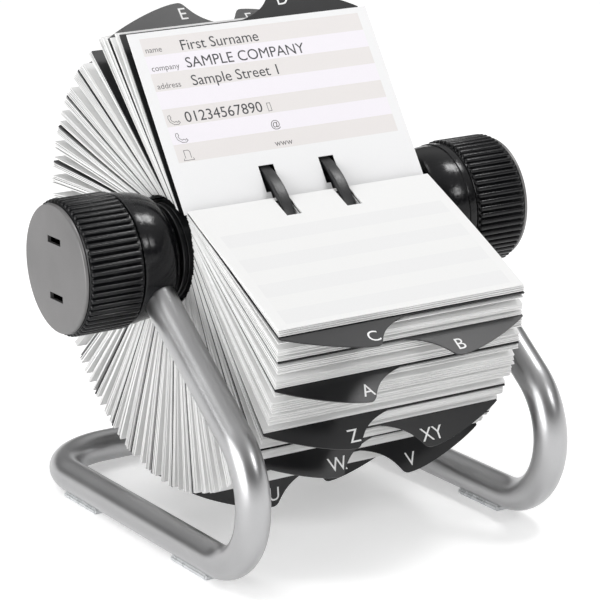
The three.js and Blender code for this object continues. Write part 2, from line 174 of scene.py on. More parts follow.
def part(points, faces, paint=0, plan=None, tone=None):
    """Points in millimetres and their faces. paint picks the material, plan is each point's place on its
    card, and tone is a shade between 0 and 1."""
    points = np.asarray(points, float)
    if plan is None:
        plan = np.zeros((len(points), 2))
    if tone is None:
        tone = np.full(len(points), 0.5)
    return Part(points, [tuple(face) for face in faces], paint, plan, tone)


def mirrored(source):
    """The same part on the other side of the object."""
    return source._replace(
        points=source.points * (-1, 1, 1),
        faces=[face[::-1] for face in source.faces])


def mesh_from(name, parts, materials, smooth_below):
    """One mesh in metres with a "card" map and a "tone" attribute."""
    points = np.concatenate([p.points for p in parts]) * MM + np.array(AXLE)
    plan = np.concatenate([p.plan for p in parts])
    tone = np.concatenate([p.tone for p in parts])
    faces = []
    paints = []
    start = 0
    for p in parts:
        faces += [tuple(start + index for index in face) for face in p.faces]
        paints += [p.paint] * len(p.faces)
        start += len(p.points)
    mesh = bpy.data.meshes.new(name)
    mesh.from_pydata(points.tolist(), [], faces)
    mesh.polygons.foreach_set("material_index", paints)
    corners = np.zeros(len(mesh.loops), int)
    mesh.loops.foreach_get("vertex_index", corners)
    mesh.uv_layers.new(name="card").data.foreach_set("uv", plan[corners].ravel() / CARD_WIDTH)
    mesh.attributes.new("tone", "FLOAT", "POINT").data.foreach_set("value", tone)
    for material in materials:
        mesh.materials.append(material)
    weld(mesh)
    shade(mesh, smooth_below)
    return mesh


def weld(mesh):
    """Joins points that fall together, such as the ring of a profile where it meets the axle."""
    work = bmesh.new()
    work.from_mesh(mesh)
    bmesh.ops.remove_doubles(work, verts=work.verts, dist=1e-6)
    work.to_mesh(mesh)
    work.free()


def shade(mesh, smooth_below):
    """Smooth shading across edges flatter than the angle in degrees, and sharp edges elsewhere."""
    mesh.polygons.foreach_set("use_smooth", np.ones(len(mesh.polygons), bool))
    mesh.set_sharp_from_angle(angle=radians(smooth_below))


def build(name, parts, finishes, body, replaced=(), smooth_below=35):
    """A piece that rides on a body and stands for the replaced CAD nodes."""
    mesh = mesh_from(name, parts, [finish.material for finish in finishes], smooth_below)
    return stand_in(bpy.data.objects.new(name, mesh), body, replaced)


def stand_in(piece, body, replaced):
    if not piece.users_collection:
        bpy.context.scene.collection.objects.link(piece)
    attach(piece, body)
    if replaced:
        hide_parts(*replaced)
    return piece


def rounded(corners, steps=4):
    """An outline of (x, radius, rounding) corners, with each rounded corner as a small curve."""
    corners = np.array(corners, float)
    line = []
    for before, here, after in zip(np.roll(corners, 1, 0), corners, np.roll(corners, -1, 0)):
        back, ahead = before[:2] - here[:2], after[:2] - here[:2]
        room = 0.49 * min(hypot(*back), hypot(*ahead))
        reach = min(here[2], room)
        if reach == 0:
            line.append(here[:2])
            continue
        start = here[:2] + back / hypot(*back) * reach
        end = here[:2] + ahead / hypot(*ahead) * reach
        for t in np.linspace(0, 1, steps + 1):
            line.append((1 - t) ** 2 * start + 2 * t * (1 - t) * here[:2] + t * t * end)
    return np.array(line)


def facing_out(profile):
    """A closed (x, radius) profile, walked so that its turned faces point out."""
    x, r = profile[:, 0], profile[:, 1]
    area = np.sum(x * np.roll(r, -1) - np.roll(x, -1) * r)
    return profile[::-1] if area > 0 else profile


def ring_faces(rows, sides):
    """Faces between closed rows of points, where the last row meets the first."""
    faces = []
    for row in range(rows):
        for side in range(sides):
            here, there = row * sides, (row + 1) % rows * sides
            turn = (side + 1) % sides
            faces.append((here + side, there + side, there + turn, here + turn))
    return faces


def turned(profile, sides=128):
    """A closed (x, radius) profile turned round the axle."""
    profile = facing_out(np.asarray(profile, float))
    angle = np.arange(sides) * 2 * pi / sides
    x = np.repeat(profile[:, :1], sides, 1)
    y = profile[:, 1:] * np.sin(angle)
    z = profile[:, 1:] * np.cos(angle)
    return part(np.stack([x, y, z], -1).reshape(-1, 3), ring_faces(len(profile), sides))


def swept(path, radius, sides=48):
    """Rings of points round a path that bends without a twist."""
    steps = np.diff(path, axis=0)
    steps /= np.linalg.norm(steps, axis=1)[:, None]
    along = np.vstack([steps[:1], steps[:-1] + steps[1:], steps[-1:]])
    along /= np.linalg.norm(along, axis=1)[:, None]
    angle = np.arange(sides) * 2 * pi / sides
    side = np.array([1.0, 0, 0])
    rings = []
    for point, forward in zip(path, along):
        side = side - side @ forward * forward
        side /= np.linalg.norm(side)
        other = np.cross(forward, side)
        rings.append(point + radius * (np.outer(np.cos(angle), side) + np.outer(np.sin(angle), other)))
    return np.array(rings)


def pipe(path, radius, bore, sides=48):
    """A hollow tube along a path, open at both ends."""
    outer = swept(path, radius, sides)
    inner = swept(path, bore, sides)[::-1]
    rows = np.concatenate([outer, inner])
    faces = [face[::-1] for face in ring_faces(len(rows), sides)]
    return part(rows.reshape(-1, 3), faces)


def rod(start, end, radius, sides=64):
    """A plain round bar between two points, used only to cut and join."""
    rings = swept(np.array([start, end], float), radius, sides)
    ends = [tuple(range(sides)), tuple(range(2 * sides - 1, sides - 1, -1))]
    walls = [(i, i + sides, (i + 1) % sides + sides, (i + 1) % sides) for i in range(sides)]
    return part(rings.reshape(-1, 3), [face[::-1] for face in [*ends, *walls]])


def block(low, high):
    """A plain box between two corners, used only to cut."""
    points = [[(low, high)[(i >> axis) & 1][axis] for axis in range(3)] for i in range(8)]
    return part(points, [(0, 2, 3, 1), (4, 5, 7, 6), (0, 1, 5, 4), (2, 6, 7, 3), (0, 4, 6, 2), (1, 3, 7, 5)])


def combined(mesh, tool, operation):
    """The mesh after a boolean with a tool part."""
    scene = bpy.context.scene.collection.objects
    target = bpy.data.objects.new("target", mesh)
    cutter = bpy.data.objects.new("cutter", mesh_from("cutter", [tool], [], 35))
    scene.link(target)
    scene.link(cutter)
    modifier = target.modifiers.new("combine", "BOOLEAN")
    modifier.operation = operation
    modifier.solver = "EXACT"
    modifier.object = cutter
    bpy.context.view_layer.update()
    result = bpy.data.meshes.new_from_object(target.evaluated_get(bpy.context.evaluated_depsgraph_get()))
    bpy.data.objects.remove(target)
    bpy.data.objects.remove(cutter)
    return result


def mirror_mesh(mesh):
    """A copy on the other side of the object, whose middle is at x = 0."""
    copy = mesh.copy()
    copy.transform(Matrix.Diagonal((-1, 1, 1, 1)))
    copy.flip_normals()
    return copy


# ---- materials ----

def new_material(name, color, roughness, **more):
    """A Principled material. Extra sockets are given with _ for each space."""
    material = bpy.data.materials.new(name)
    material.use_nodes = True
    shader = material.node_tree.nodes["Principled BSDF"]
    shader.inputs["Base Color"].default_value = (*color, 1)
    shader.inputs["Roughness"].default_value = roughness
    for socket, value in more.items():
        shader.inputs[socket.replace("_", " ")].default_value = value
    return material


def shader_input(material, name):
    return material.node_tree.nodes["Principled BSDF"].inputs[name]


def add_node(material, kind, **values):
    """A shader node with its inputs set by name, or by place where the name is iN."""
    node = material.node_tree.nodes.new(kind)
    for name, value in values.items():
        key = int(name[1:]) if name[1:].isdigit() else name.replace("_", " ")
        if isinstance(value, bpy.types.NodeSocket):
            material.node_tree.links.new(value, node.inputs[key])
        else:
            node.inputs[key].default_value = value
    return node


def noise(material, scale, detail=3.0, stretch=(1, 1, 1)):
    """Noise fixed to the object, with about scale features to a metre."""
    place = add_node(material, "ShaderNodeTexCoord").outputs["Object"]
    spread = add_node(material, "ShaderNodeMapping", Vector=place, Scale=stretch).outputs["Vector"]
    return add_node(material, "ShaderNodeTexNoise", Vector=spread, Scale=scale, Detail=detail).outputs["Fac"]


def ranged(material, factor, low, high, start=0.3, end=0.7):
    """A factor from start to end, spread over low to high."""
    node = add_node(
        material, "ShaderNodeMapRange", Value=factor, From_Min=start, From_Max=end, To_Min=low, To_Max=high)
    return node.outputs["Result"]


def blended(material, factor, first, second):
    """A colour between two, by a factor."""
    node = material.node_tree.nodes.new("ShaderNodeMix")
    node.data_type = "RGBA"
    links = material.node_tree.links
    links.new(factor, node.inputs["Factor"])
    for socket, value in (("A", first), ("B", second)):
        target = next(i for i in node.inputs if i.name == socket and i.type == "RGBA")
        if isinstance(value, bpy.types.NodeSocket):
            links.new(value, target)
        else:
            target.default_value = (*value, 1)
    return next(o for o in node.outputs if o.type == "RGBA")


def set_color(material, socket):
    material.node_tree.links.new(socket, shader_input(material, "Base Color"))


def set_roughness(material, socket):
    material.node_tree.links.new(socket, shader_input(material, "Roughness"))


def set_bump(material, height, distance, strength=1.0):
    """Bump of the given depth in millimetres."""
    bump = add_node(material, "ShaderNodeBump", Height=height, Distance=distance * MM, Strength=strength)
    material.node_tree.links.new(bump.outputs["Normal"], shader_input(material, "Normal"))


def computed(material, operation, first, second=0.0):
    """The result of a math node on two values."""
    node = add_node(material, "ShaderNodeMath", i0=first, i1=second)
    node.operation = operation
    return node.outputs["Value"]


def moulded(name, dark, light, roughness, patch, grain, grain_depth, **more):
    """Moulded plastic: slow shade changes, uneven gloss and a fine surface grain."""
    material = new_material(name, light, roughness, **more)
    slow = noise(material, patch)
    fine = noise(material, grain, 4.0)
    set_color(material, blended(material, ranged(material, slow, 0, 1), dark, light))
    set_roughness(material, ranged(material, fine, roughness - 0.07, roughness + 0.09))
    set_bump(material, fine, grain_depth)
    return material


def satin_metal():
    """Silver lacquer on the tube, with a faint orange peel and fine flecks."""
    material = new_material("satin_tube", (0.48, 0.48, 0.49), 0.3, Metallic=1.0)
    flecks = noise(material, 9000, 2.0)
    slow = noise(material, 45)
    sparkle = computed(material, "MULTIPLY", flecks, 0.6)
    drift = computed(material, "MULTIPLY", slow, 0.4)
    tint = computed(material, "ADD", sparkle, drift)
    set_color(material, blended(
        material, ranged(material, tint, 0, 1, 0.35, 0.65), (0.4, 0.4, 0.405), (0.45, 0.45, 0.455)))
    set_roughness(material, ranged(material, slow, 0.28, 0.33))
    set_bump(material, noise(material, 1400, 3.0), 0.02)
    return material


def cap_metal():
    """Satin silver-grey disc with a fine even grain."""
    material = new_material("grey_cap", (0.42, 0.41, 0.41), 0.42, Metallic=0.75)
    slow = noise(material, 30)
    fine = noise(material, 5200, 3.0)
    set_color(material, blended(
        material, ranged(material, slow, 0, 1), (0.165, 0.162, 0.162), (0.21, 0.206, 0.206)))
    set_roughness(material, ranged(material, fine, 0.36, 0.48))
    set_bump(material, fine, 0.012)
    return material


def steel():
    """Turned steel, with fine rings round the axle."""
    material = new_material("bright_steel", (0.6, 0.6, 0.61), 0.28, Metallic=1.0)
    rings = noise(material, 300, 2.0, (14, 1, 1))
    set_color(material, blended(
        material, ranged(material, rings, 0, 1), (0.5, 0.5, 0.51), (0.68, 0.68, 0.69)))
    set_roughness(material, ranged(material, rings, 0.2, 0.36))
    set_bump(material, rings, 0.01)
    return material


def clear_vinyl():
    """Soft clear foot pad, slightly cloudy."""
    material = new_material(
        "clear_pad", (0.86, 0.88, 0.89), 0.28, Transmission_Weight=0.3, IOR=1.45)
    cloud = noise(material, 160)
    set_color(material, blended(
        material, ranged(material, cloud, 0, 1), (0.6, 0.62, 0.63), (0.74, 0.75, 0.76)))
    set_roughness(material, ranged(material, cloud, 0.22, 0.4))
    set_bump(material, noise(material, 2600), 0.004)
    return material


def band_masks(material):
    """1 inside the printed field, and 1 on every other band of it."""
    plan = material.node_tree.nodes.new("ShaderNodeUVMap")
    plan.uv_map = "card"
    axes = add_node(material, "ShaderNodeSeparateXYZ", Vector=plan.outputs["UV"])
    across = computed(material, "ABSOLUTE", axes.outputs["X"])
    rise = computed(material, "SUBTRACT", axes.outputs["Y"], BAND_LOW / CARD_WIDTH)
    bands = computed(material, "DIVIDE", rise, BAND_HEIGHT / CARD_WIDTH)
    inside = computed(material, "LESS_THAN", across, BAND_HALF_WIDTH / CARD_WIDTH)
    above = computed(material, "GREATER_THAN", bands, 0.0)
    below = computed(material, "LESS_THAN", bands, float(BAND_COUNT))
    field = computed(material, "MULTIPLY", inside, computed(material, "MULTIPLY", above, below))
    halves = computed(material, "MULTIPLY", bands, 0.5)
    odd = computed(material, "LESS_THAN", computed(material, "FRACT", halves), 0.5)
    return field, computed(material, "MULTIPLY", field, odd)


def card_paper(name, plain, field_color, band_color):
    """Smooth card: fibres, a shade of its own for each card, and bands printed on it."""
    material = new_material(name, plain, 0.62, Specular_IOR_Level=0.3)
    field, band = band_masks(material)
    printed = blended(material, band, field_color, band_color)
    base = blended(material, field, plain, printed)
    shade_node = material.node_tree.nodes.new("ShaderNodeAttribute")
    shade_node.attribute_name = "tone"
    fibre = noise(material, 2600, 4.0)
    dim = computed(
        material, "ADD",
        ranged(material, shade_node.outputs["Fac"], 0.0, 0.07, 0, 1),
        ranged(material, fibre, 0.0, 0.05))
    set_color(material, blended(material, dim, base, (0.45, 0.45, 0.46)))
    set_roughness(material, ranged(material, fibre, 0.55, 0.72))
    set_bump(material, noise(material, 1800, 5.0), 0.02, 0.6)
    return material


def ink(name, color, roughness=0.6):
    """Printed ink, a little uneven where the paper shows through."""
    material = new_material(name, color, roughness)
    wear = noise(material, 3800, 2.0)
    lighter = tuple(channel + (1 - channel) * 0.12 for channel in color)
    set_color(material, blended(material, ranged(material, wear, 0, 1, 0.45, 0.8), color, lighter))
    set_roughness(material, ranged(material, wear, roughness - 0.05, roughness + 0.1))
    set_bump(material, wear, 0.005)
    return material


TUBE_FINISH = Finish(satin_metal(), "satin_tube")
GLOSS = Finish(
    moulded("gloss_black", (0.002, 0.002, 0.0024), (0.005, 0.005, 0.006), 0.17, 60, 900, 0.035,
            Specular_IOR_Level=0.3), "gloss_black")
SATIN = Finish(
    moulded("satin_black", (0.006, 0.006, 0.007), (0.014, 0.014, 0.015), 0.34, 80, 2200, 0.03), "satin_black")
DIVIDER = Finish(
    moulded("divider_plastic", (0.006, 0.006, 0.007), (0.011, 0.011, 0.012), 0.36, 70, 5200, 0.007,
            Specular_IOR_Level=0.4),
    "satin_black")
CAP_FINISH = Finish(cap_metal(), "grey_cap")
STEEL = Finish(steel(), "bright_steel")
NYLON = Finish(
    moulded("nylon", (0.66, 0.63, 0.55), (0.78, 0.76, 0.69), 0.5, 90, 1600, 0.02), "nylon")
VINYL = Finish(clear_vinyl(), "clear_pad")
LOOSE_PAPER = Finish(
    card_paper("loose_card", (0.8, 0.8, 0.795), (0.79, 0.79, 0.785), (0.765, 0.765, 0.765)), "card_paper")
FILLED_PAPER = Finish(
    card_paper("filled_card", (0.8, 0.8, 0.805), (0.82, 0.79, 0.835), (0.735, 0.705, 0.695)), "card_paper")
LETTER_INK = Finish(ink("letter_ink", (0.8, 0.8, 0.8)), "card_paper")
DARK_INK = Finish(ink("dark_ink", (0.025, 0.025, 0.03)), "card_paper")
PALE_INK = Finish(ink("pale_ink", (0.12, 0.115, 0.115)), "card_paper")


# ---- camera, lights and floor ----

def unit(angle):
    """The (y, z) direction at an angle in degrees from straight up, towards the back."""
    return np.array([sin(radians(angle)), cos(radians(angle))])


def add_camera():
    """Looks at the axle from the left front, a little from above."""
    azimuth, elevation, roll = radians(-31.36), radians(15.23), radians(-1.25)
    back = Vector((sin(azimuth) * cos(elevation), -cos(azimuth) * cos(elevation), sin(elevation)))
    level = Vector((0, 0, 1)).cross(back).normalized()
    upright = back.cross(level)
    right = cos(roll) * level + sin(roll) * upright
    up = -sin(roll) * level + cos(roll) * upright
    aside, below, away = 6.04, 25.91, 1025.91
    place = AXLE + (aside * right - below * up + away * back) * MM
    lens = bpy.data.cameras.new("camera")
    lens.sensor_width = 36
    lens.lens = 163.73
    lens.clip_start = 0.05
    camera = bpy.data.objects.new("camera", lens)
    camera.matrix_world = Matrix.Translation(place) @ Matrix((right, up, back)).transposed().to_4x4()
    bpy.context.scene.collection.objects.link(camera)
    bpy.context.scene.camera = camera


def aimed(name, data, place):
    """Puts a light at a place in metres from the axle, aimed at the axle."""
    light = bpy.data.objects.new(name, data)
    light.location = AXLE + Vector(place)
    light.rotation_euler = Vector(place).to_track_quat("Z", "Y").to_euler()
    bpy.context.scene.collection.objects.link(light)


def add_area_light(name, place, size, power):
    """A square softbox."""
    data = bpy.data.lights.new(name, "AREA")
    data.size = size
    data.energy = power
    aimed(name, data, place)


def add_key_light():
    """A large soft lamp far overhead, so that the floor is lit evenly."""
    data = bpy.data.lights.new("key", "SUN")
    data.angle = radians(28)
    data.energy = 0.5
    aimed("key", data, (-0.55, 0.35, 1.15))


def add_surroundings():
    """A bright ceiling, dim walls, a dim place behind the camera, and white from the horizon down."""
    world = bpy.data.worlds.new("studio")
    world.use_nodes = True
    bpy.context.scene.world = world
    direction = world.node_tree.nodes.new("ShaderNodeTexCoord").outputs["Generated"]
    overhead = (0, 0, 1)
    to_camera = (-0.25, -0.93, 0.1)
    ceiling = world_lobe(world, direction, overhead, reach=(0.2, 0.8), strength=(0.12, 0.7))
    behind_camera = world_lobe(world, direction, to_camera, reach=(0.3, 0.95), strength=(1.0, 0.5))
    horizon = world_lobe(world, direction, overhead, reach=(0.13, 0.22), strength=(1.0, 0.0))
    studio = world_math(world, "MULTIPLY", ceiling, behind_camera)
    strength = world_math(world, "ADD", studio, horizon)
    background = world.node_tree.nodes["Background"]
    world.node_tree.links.new(strength, background.inputs["Strength"])
    background.inputs["Color"].default_value = (1, 1, 1, 1)


def world_math(world, operation, first, second):
    """Two strengths of the world put together by a sum or a product."""
    node = world.node_tree.nodes.new("ShaderNodeMath")
    node.operation = operation
    world.node_tree.links.new(first, node.inputs[0])
    world.node_tree.links.new(second, node.inputs[1])
    return node.outputs["Value"]


def world_lobe(world, direction, axis, reach, strength):
    """A strength that changes smoothly with how closely a direction follows an axis."""
    nodes, links = world.node_tree.nodes, world.node_tree.links
    towards = nodes.new("ShaderNodeVectorMath")
    towards.operation = "DOT_PRODUCT"
    towards.inputs[1].default_value = Vector(axis).normalized()
    lobe = nodes.new("ShaderNodeMapRange")
    lobe.interpolation_type = "SMOOTHSTEP"
    lobe.inputs["From Min"].default_value, lobe.inputs["From Max"].default_value = reach
    lobe.inputs["To Min"].default_value, lobe.inputs["To Max"].default_value = strength
    links.new(direction, towards.inputs[0])
    links.new(towards.outputs["Value"], lobe.inputs["Value"])
    return lobe.outputs["Result"]


def add_floor():
    """A wide pale floor that glows a little, so that shadows on it stay light."""
    material = new_material(
        "floor", (0.92, 0.92, 0.92), 0.9,
        Specular_IOR_Level=0.0, Emission_Color=(1, 1, 1, 1), Emission_Strength=0.33)
    mesh = bpy.data.meshes.new("floor")
    half = 6.0
    corners = [(-half, -half, 0), (half, -half, 0), (half, half, 0), (-half, half, 0)]
    mesh.from_pydata(corners, [], [(0, 1, 2, 3)])
    mesh.materials.append(material)
    floor = bpy.data.objects.new("floor", mesh)
    bpy.context.scene.collection.objects.link(floor)


# ---- cards and dividers ----

def inner_edge(s):
    """The (y, z) place of a card's inner edge at s, from 0 at the standing card to 1 at the lying one."""
    lift = SEAM_LIFT_FRONT if s < 0.5 else SEAM_LIFT_LYING
    return (INNER_RADIUS + lift * (2 * s - 1) ** 2) * unit(INNER_START + INNER_SPREAD * s)


def card_direction(inner, s):
    """The (y, z) direction to an outer edge that lies on the ray at s."""
    ray = unit(OUTER_START + OUTER_SPREAD * s)
    along = inner @ ray
    reach = along + sqrt(CARD_HEIGHT ** 2 - inner @ inner + along ** 2)
    way = ray * reach - inner
    return way / hypot(*way)


def tab_curve(side):
    """The x and height of a divider's outer edge: a long ramp to a tight peak, then an S down to the edge."""
    half = CARD_WIDTH / 2
    peak = CARD_WIDTH * TAB_PEAK - half
    foot = CARD_WIDTH * TAB_FOOT - half
    tall = TAB_HEIGHT
    runs = [
        [(-half, 0), (-half + 7.5, tall * 0.39), (peak - 9, tall * 0.98), (peak - 0.6, tall)],
        [(peak - 0.6, tall), (peak + 1.2, tall), (peak + 2.2, tall * 0.87)],
        [(peak + 2.2, tall * 0.87), (peak + 5.2, tall * 0.47), (peak + 8.6, tall * 0.19), (foot, 0)],
    ]
    points = [bezier(run, t) for run in runs for t in np.linspace(0, 1, 12, endpoint=False)]
    x, height = np.array([*points, (foot, 0), (half, 0)]).T
    return (x, height) if side < 0 else (-x[::-1], height[::-1])


def bezier(run, t):
    """The point at t on a Bezier curve of any order."""
    run = np.array(run, float)
    while len(run) > 1:
        run = (1 - t) * run[:-1] + t * run[1:]
    return run[0]


def plate(extra_x=()):
    """The plan of a slotted card and the faces of its front, back and edges."""
    half = CARD_WIDTH / 2
    x_lines = {-half, half, *extra_x}
    for middle in (-WINDOW_OFFSET, WINDOW_OFFSET):
        x_lines |= {middle - WINDOW_WIDTH / 2, middle - THROAT_WIDTH / 2}
        x_lines |= {middle + THROAT_WIDTH / 2, middle + WINDOW_WIDTH / 2}
    x_lines = sorted(x_lines)
    v_lines = [0, WINDOW_NEAR, WINDOW_FAR, 26, 38, 50, 61, CARD_HEIGHT]
    cells = [
        (i, j) for i in range(len(x_lines) - 1) for j in range(len(v_lines) - 1)
        if not is_open((x_lines[i] + x_lines[i + 1]) / 2, (v_lines[j] + v_lines[j + 1]) / 2)
    ]
    quads = [[(i, j), (i + 1, j), (i + 1, j + 1), (i, j + 1)] for i, j in cells]
    corners = sorted({corner for quad in quads for corner in quad})
    number = {corner: index for index, corner in enumerate(corners)}
    front = [[number[corner] for corner in quad] for quad in quads]
    count = len(corners)
    back = [[index + count for index in quad[::-1]] for quad in front]
    edges = {(quad[k], quad[(k + 1) % 4]) for quad in front for k in range(4)}
    rim = [(a, a + count, b + count, b) for a, b in sorted(edges) if (b, a) not in edges]
    plan = np.array([(x_lines[i], v_lines[j]) for i, j in corners], float)
    return plan, front + back + rim


def is_open(x, v):
    """Whether a place on a card is inside a window or a throat."""
    off = abs(abs(x) - WINDOW_OFFSET)
    in_window = off < WINDOW_WIDTH / 2 and WINDOW_NEAR < v < WINDOW_FAR
    return in_window or (off < THROAT_WIDTH / 2 and v < WINDOW_NEAR)


def placed(plan, thickness, inner, direction, bow=0.0):
    """The plan stood up at an inner edge, front layer first. bow bends the card's middle to the back."""
    behind = np.array([direction[1], -direction[0]])
    bend = bow * np.sin(pi * np.clip(plan[:, 1] / CARD_HEIGHT, 0, 1))
    layers = []
    for offset in (-thickness / 2, thickness / 2):
        flat = inner + plan[:, 1:] * direction + (bend + offset)[:, None] * behind
        layers.append(np.column_stack([plan[:, 0], flat]))
    return np.concatenate(layers)


def reading_direction():
    """The (y, z) way from the inner edge of the standing card to its top."""
    return unit(READING_LEAN)


def flip_pivot():
    """The (y, z) place of the axis that the standing card flips about."""
    way = reading_direction()
    return READING_INNER + FLIP_ALONG * way + FLIP_AHEAD * np.array([-way[1], way[0]])


def clear_of_flip(plan, inner, direction):
    """The plan, with its inner edge pulled out of the room that the flipping card sweeps."""
    gap = flip_pivot() - inner
    along = gap @ direction
    off_square = gap @ gap - along ** 2
    if off_square >= FLIP_SWEEP ** 2:
        return plan
    spare = 0.1
    rim_left = 0.3
    first = along + sqrt(FLIP_SWEEP ** 2 - off_square) + spare
    limit = WINDOW_NEAR - rim_left
    lifted = plan.copy()
    lifted[:, 1] = np.where(plan[:, 1] == 0, np.clip(first, 0, limit), plan[:, 1])
    return lifted


def gaps(count, tight, loose):
    """Random gaps between cards: small ones inside a bundle and a large one after it."""
    found = []
    while len(found) < count:
        bundle = RANDOM.integers(2, 6)
        found += list(RANDOM.uniform(*tight, bundle)) + [RANDOM.uniform(*loose)]
    return np.array(found[:count])


def card_places(start, end, count, opening):
    """The s of each card's inner and outer edge. Both only rise, so neighbours keep their order.

    opening is a gap left after the last card's outer edge."""
    inner_gaps = np.append(gaps(count, INNER_TIGHT, INNER_LOOSE), INNER_LAST)
    outer_gaps = np.append(gaps(count, OUTER_TIGHT, OUTER_LOOSE), RANDOM.uniform(*OUTER_LAST) + opening)
    places = []
    for each in (inner_gaps, outer_gaps):
        each[0] = FIRST_GAP
        places.append(start + (end - start) * np.cumsum(each)[:-1] / each.sum())
    return places


def card_bow(s):
    """How far the middle of the card at s bends to the back. It changes slowly from card to card."""
    return 0.45 * sin(40 * s) + 0.2 * sin(97 * s)


PLAN, PLATE_FACES = plate()


def loose_cards(start, end, opening):
    """The cards filed between two dividers, each a little off its neighbours."""
    fill = SPARSE_FILL if start < SPARSE_END else 1
    count = max(FEWEST_CARDS, round(fill * CARDS_PER_WHEEL * (end - start)))
    parts = []
    for inner_s, outer_s in zip(*card_places(start, end, count, opening)):
        inner = inner_edge(inner_s)
        direction = card_direction(inner, outer_s)
        inner = inner + RANDOM.normal(0, CARD_SLIP) * direction
        plan = clear_of_flip(PLAN, inner, direction)
        points = placed(plan, CARD_THICKNESS, inner, direction, card_bow(outer_s))
        points[:, 0] += RANDOM.normal(0, CARD_SLIP)
        tone = np.full(len(points), RANDOM.random())
        parts.append(part(points, PLATE_FACES, 0, np.tile(PLAN, (2, 1)), tone))
    return parts


def glyphs(words, height, align="CENTER"):
    """Flat lettering as points and faces, with capitals of the given height standing on y = 0."""
    curve = bpy.data.curves.new("lettering", "FONT")
    curve.body = words
    curve.align_x = align
    curve.resolution_u = 4
    curve.extrude = 0.01
    holder = bpy.data.objects.new("lettering", curve)
    mesh = bpy.data.meshes.new_from_object(holder)
    points = np.zeros(len(mesh.vertices) * 3)
    mesh.vertices.foreach_get("co", points)
    points = points.reshape(-1, 3) * (height / CAPITAL_HEIGHT)
    points[:, 2] = np.sign(points[:, 2]) * INK_HALF
    faces = [tuple(face.vertices) for face in mesh.polygons]
    bpy.data.objects.remove(holder)
    bpy.data.meshes.remove(mesh)
    return points, faces


def capital_height():
    """The height of a capital in the built-in font at size 1."""
    curve = bpy.data.curves.new("measure", "FONT")
    curve.body = "H"
    holder = bpy.data.objects.new("measure", curve)
    mesh = bpy.data.meshes.new_from_object(holder)
    height = max(v.co.y for v in mesh.vertices)
    bpy.data.objects.remove(holder)
    bpy.data.meshes.remove(mesh)
    return height


CAPITAL_HEIGHT = capital_height()


def on_card(points, x, v, inner, direction, offset, paint, faces, flip=1):
    """Flat artwork laid on a card at (x, v). flip -1 puts it on the back, upright from that side."""
    behind = np.array([direction[1], -direction[0]])
    rise = (v + flip * points[:, 1])[:, None] * direction
    out = (-flip * (offset + points[:, 2]))[:, None] * behind
    return part(np.column_stack([x + points[:, 0], inner + rise + out]), faces, paint)


def divider(letter, start, side):
    """A tabbed divider with its letter on both sides of the tab."""
    tab_x, tab_height = tab_curve(side)
    plan, faces = plate(tab_x)
    plan[:, 1] += np.where(plan[:, 1] == CARD_HEIGHT, np.interp(plan[:, 0], tab_x, tab_height), 0)
    direction = card_direction(inner_edge(start), start)
    behind = np.array([direction[1], -direction[0]])
    inner = inner_edge(start) + behind * DIVIDER_THICKNESS / 2
    body = placed(clear_of_flip(plan, inner, direction), DIVIDER_THICKNESS, inner, direction)
    points, letter_faces = glyphs(letter, LETTER_HEIGHT)
    points[:, 1] -= LETTER_HEIGHT / 2
    place = (LETTER_X[side], LETTER_V, inner, direction, DIVIDER_THICKNESS / 2, 1, letter_faces)
    return [part(body, faces, 0, np.tile(plan, (2, 1))), on_card(points, *place), on_card(points, *place, -1)]


def section_starts():
    """The s of every divider, and 1 for the end of the last section."""
    even = len(LETTERS) - len(LAST_STARTS) - 1
    return [FIRST_START, *np.linspace(EVEN_START, EVEN_END, even), *LAST_STARTS, 1]


def add_sections():
    """Every divider with its cards. Tabs take turns, and Z and A are both on the left."""
    starts = section_starts()
    for index, letter in enumerate(LETTERS):
        turns = index if index < LETTERS.index("A") else index - 1
        side = 1 if turns % 2 == 0 else -1
        start = starts[index] + SECTION_GAP
        opening = OPEN_GAP if letter == OPEN_SECTION else 0
        cards = loose_cards(start, starts[index + 1], opening)
        build(f"cards_{letter}", cards, [LOOSE_PAPER], "wheel", [f"section_{letter}"])
        plates = build(f"divider_{letter}", divider(letter, start, side), [DIVIDER, LETTER_INK], "wheel")
        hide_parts(f"section_{letter}")


# ---- the filled-in card ----

def ribbon(points, width=0.22, closed=False):
    """A thin line of ink along points, one flat bar for each stretch."""
    points = [np.array(point, float) for point in points]
    if closed:
        points.append(points[0])
    corners = []
    faces = []
    for a, b in zip(points, points[1:]):
        along = (b - a) / hypot(*(b - a))
        side = np.array([-along[1], along[0]]) * width / 2
        a, b = a - along * width / 2, b + along * width / 2
        first = len(corners)
        for height in (-INK_HALF, INK_HALF):
            corners += [(*corner, height) for corner in (a - side, b - side, b + side, a + side)]
        bar = [(0, 3, 2, 1), (4, 5, 6, 7), (0, 1, 5, 4), (1, 2, 6, 5), (2, 3, 7, 6), (3, 0, 4, 7)]
        faces += [tuple(first + index for index in face) for face in bar]
    return np.array(corners), faces


def handset():
    """A small telephone handset as an outline."""
    return [(-1.9, 1.8), (-1.1, 2.0), (-0.8, 1.0), (-1.2, 0.7), (-0.9, -0.2), (0.1, -0.9), (0.8, -0.6),
            (1.4, -1.1), (1.9, -0.5), (2.4, -1.2), (1.5, -1.9), (-0.2, -1.8), (-1.7, -0.6), (-2.1, 0.8)]


def page():
    return [(-1.3, -1.0), (-1.3, 2.0), (0.5, 2.0), (1.1, 1.4), (1.1, -1.0)]


def tray():
    return [(-1.9, -1.2), (-2.1, -1.9), (2.1, -1.9), (1.9, -1.2)]


def mobile():
    return [(-0.7, -1.6), (0.7, -1.6), (0.7, 1.6), (-0.7, 1.6)]


